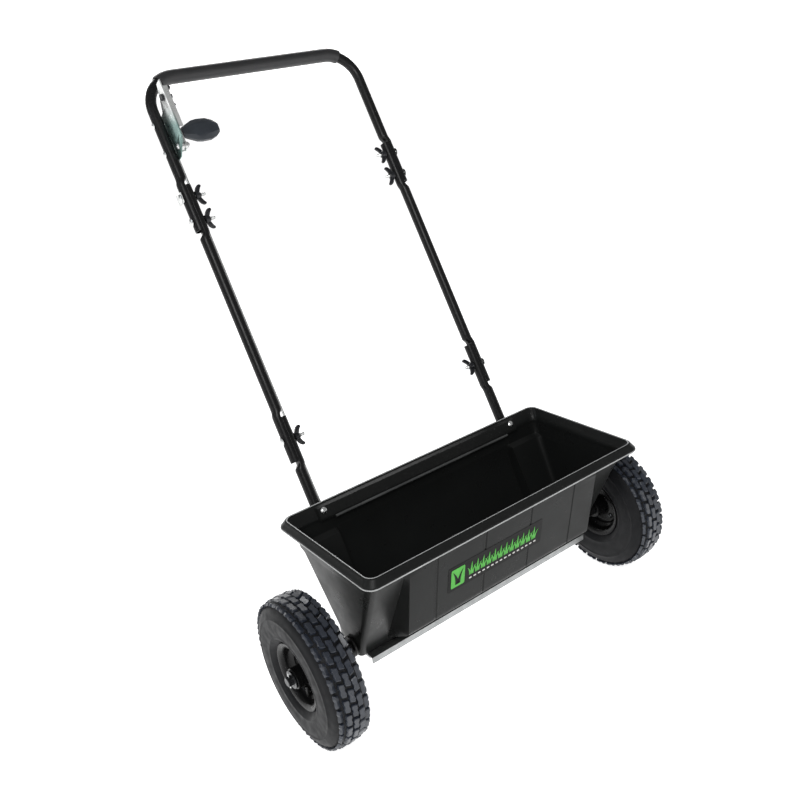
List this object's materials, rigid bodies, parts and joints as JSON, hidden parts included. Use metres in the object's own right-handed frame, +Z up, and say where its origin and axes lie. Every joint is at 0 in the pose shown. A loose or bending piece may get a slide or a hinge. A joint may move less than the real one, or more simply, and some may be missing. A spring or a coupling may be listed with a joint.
{
  "type": "push drop spreader",
  "caption": "Push drop spreader with a black moulded hopper, two air-filled tyres, a folding tube handle and a lever that opens the shutter.",
  "frame": {"origin": "middle of the object's footprint, on the ground", "axes": "+Z up, +X along the axle towards the right wheel, +Y rearwards to the handle"},
  "size_m": [0.77, 0.6456, 1.0147],
  "materials": {
    "moulding": "satin moulded black polypropylene",
    "powder_coat": "semi-gloss black powder coat",
    "zinc": "bright zinc plate",
    "axle_steel": "drawn steel bar",
    "tyre_rubber": "black tyre rubber",
    "rim_paint": "gloss black paint",
    "grip_vinyl": "matt foam vinyl sleeve",
    "knob_plastic": "black moulded plastic",
    "nylon": "black nylon"
  },
  "bodies": {
    "chassis": {"hopper": "moulding", "drop_pan": "zinc", "shutter_rail_front": "zinc", "shutter_rail_rear": "zinc", "axle_bush_left": "nylon", "axle_bush_right": "nylon", "lower_tube_left": "powder_coat", "lower_tube_right": "powder_coat", "hopper_screw_left": "zinc", "hopper_screw_right": "zinc", "stand": "powder_coat", "stand_bolt_left": "zinc", "stand_bolt_right": "zinc", "crank_bracket": "zinc"},
    "drive_axle": {"axle": "axle_steel", "agitator": "nylon", "axle_spacer_left": "axle_steel", "axle_spacer_right": "axle_steel", "axle_washer_left": "zinc", "axle_washer_right": "zinc", "cotter_pin_left": "zinc", "cotter_pin_right": "zinc", "drive_pin": "zinc", "tyre_right": "tyre_rubber", "wheel_rim_right": "rim_paint", "valve_stem_right": "nylon"},
    "free_wheel": {"tyre_left": "tyre_rubber", "wheel_rim_left": "rim_paint", "valve_stem_left": "nylon"},
    "handle": {"middle_tube_left": "powder_coat", "middle_tube_right": "powder_coat", "handle_bar": "powder_coat", "hand_grip": "grip_vinyl", "fold_left_bolt": "zinc", "fold_right_bolt": "zinc", "fold_left_wing_nut": "knob_plastic", "fold_right_wing_nut": "knob_plastic", "splice_low_left_bolt": "zinc", "splice_low_right_bolt": "zinc", "splice_top_left_bolt": "zinc", "splice_top_right_bolt": "zinc", "splice_low_left_wing_nut": "knob_plastic", "splice_low_right_wing_nut": "knob_plastic", "splice_top_left_wing_nut": "knob_plastic", "splice_top_right_wing_nut": "knob_plastic", "gauge_plate": "zinc", "gauge_bolt_1": "zinc", "gauge_bolt_2": "zinc", "lever_pivot_bolt": "zinc", "lever_pivot_nut": "zinc", "lever_standoff": "zinc", "rod_guide": "zinc"},
    "rate_stop_knob": {"rate_stop": "knob_plastic"},
    "lever": {"control_lever": "zinc", "lever_grip": "knob_plastic"},
    "pull_rod": {"control_rod": "axle_steel"},
    "crank": {"bell_crank": "zinc"},
    "blade": {"shutter": "zinc"}
  },
  "joints": [
    {"name": "axle_spin", "type": "hinge", "parent": "chassis", "child": "drive_axle", "pos_m": [0, -0.18878, 0.127], "axis": [1, 0, 0], "continuous": true},
    {"name": "free_wheel_spin", "type": "hinge", "parent": "drive_axle", "child": "free_wheel", "pos_m": [-0.3405, -0.18878, 0.127], "axis": [1, 0, 0], "continuous": true},
    {"name": "handle_fold", "type": "hinge", "parent": "chassis", "child": "handle", "pos_m": [0, 0.00442, 0.41962], "axis": [1, 0, 0], "range_deg": [0, 120]},
    {"name": "lever_turn", "type": "hinge", "parent": "handle", "child": "lever", "pos_m": [-0.195, 0.23122, 0.89464], "axis": [1, 0, 0], "range_deg": [-26, 5]},
    {"name": "rate_stop_set", "type": "hinge", "parent": "handle", "child": "rate_stop_knob", "pos_m": [-0.195, 0.23122, 0.89464], "axis": [1, 0, 0], "range_deg": [-4, 1.5]},
    {"name": "rod_slide", "type": "slide", "parent": "handle", "child": "pull_rod", "axis": [0, 0.4648, 0.8854], "range_m": [-0.016, 0.0034]},
    {"name": "crank_turn", "type": "hinge", "parent": "chassis", "child": "crank", "pos_m": [-0.16, -0.12528, 0.122], "axis": [0, 1, 0], "range_deg": [-22.2, 4.6]},
    {"name": "shutter_slide", "type": "slide", "parent": "chassis", "child": "blade", "axis": [1, 0, 0], "range_m": [-0.0022, 0.0103]}
  ],
  "couplings": [
    {"joint": "rod_slide", "follows": "lever_turn", "m_per_rad": 0.0345},
    {"joint": "crank_turn", "follows": "lever_turn", "ratio": 0.8256},
    {"joint": "shutter_slide", "follows": "lever_turn", "m_per_rad": -0.02155}
  ]
}
